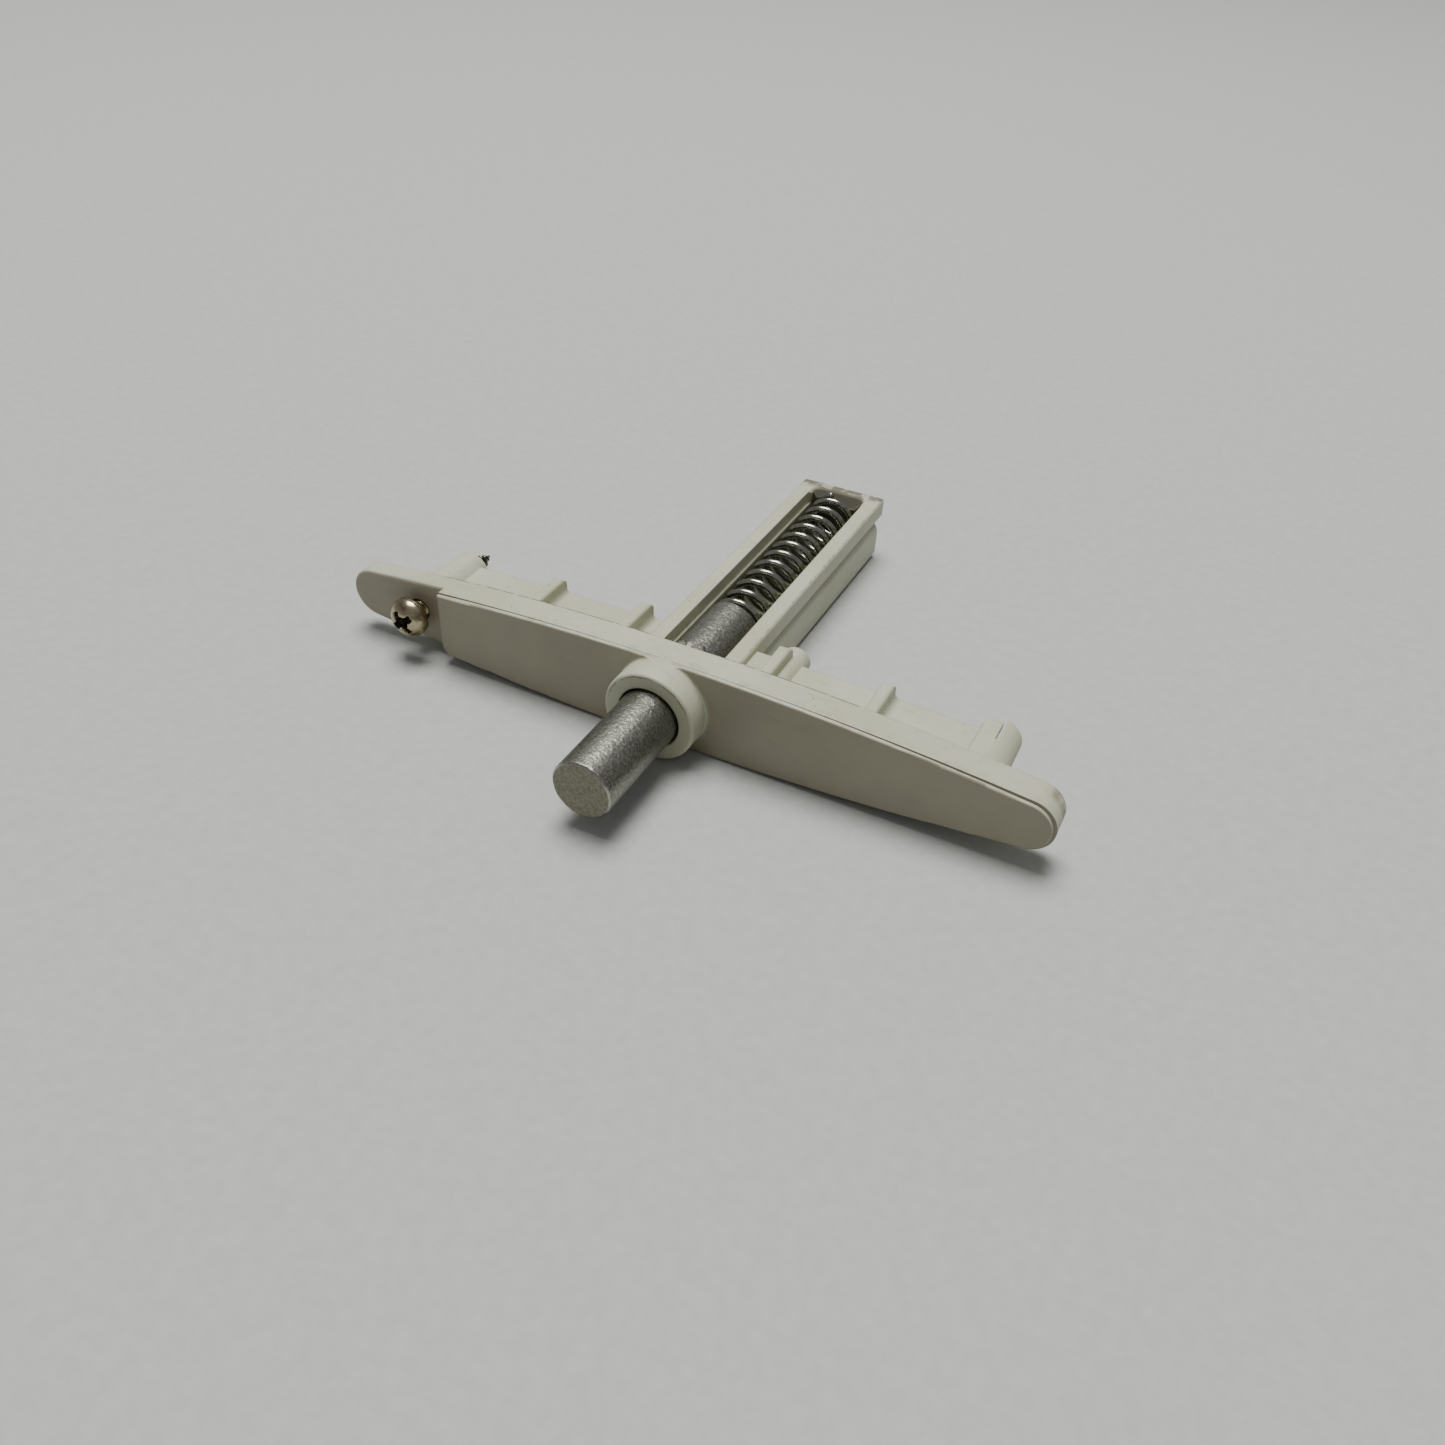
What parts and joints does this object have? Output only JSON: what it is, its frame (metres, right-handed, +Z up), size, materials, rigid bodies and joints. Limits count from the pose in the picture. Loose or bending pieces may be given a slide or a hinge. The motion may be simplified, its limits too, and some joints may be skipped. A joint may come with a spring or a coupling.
{
  "type": "spring-loaded pivot bolt in a louvre blade end cap",
  "caption": "Moulded end cap for a hollow elliptical louvre blade, with a spring-loaded 8 mm metal pivot pin that pushes back into its trough.",
  "frame": {"origin": "on the pin's axis, in the plane of the end cap's front face", "axes": "+X along the plate away from the screw end, +Y back into the blade along the trough, +Z up out of the open side of the trough"},
  "size_m": [0.101, 0.078, 0.0126],
  "materials": {
    "moulding": "satin, slightly yellowed, grubby in the corners",
    "pin": "grainy as cast, dull",
    "spring": "bright drawn wire",
    "screw": "nickel plated, worn in the recess"
  },
  "bodies": {
    "cap": {"end_cap": "moulding", "screw": "screw", "spring": "spring"},
    "bolt": {"pin": "pin"}
  },
  "joints": [
    {"name": "pin_slide", "type": "slide", "parent": "cap", "child": "bolt", "axis": [0, 1, 0], "range_m": [0, 0.0157], "stiffness_N_per_m": 3100, "springref_m": -0.0015, "deforming": ["spring"]}
  ]
}
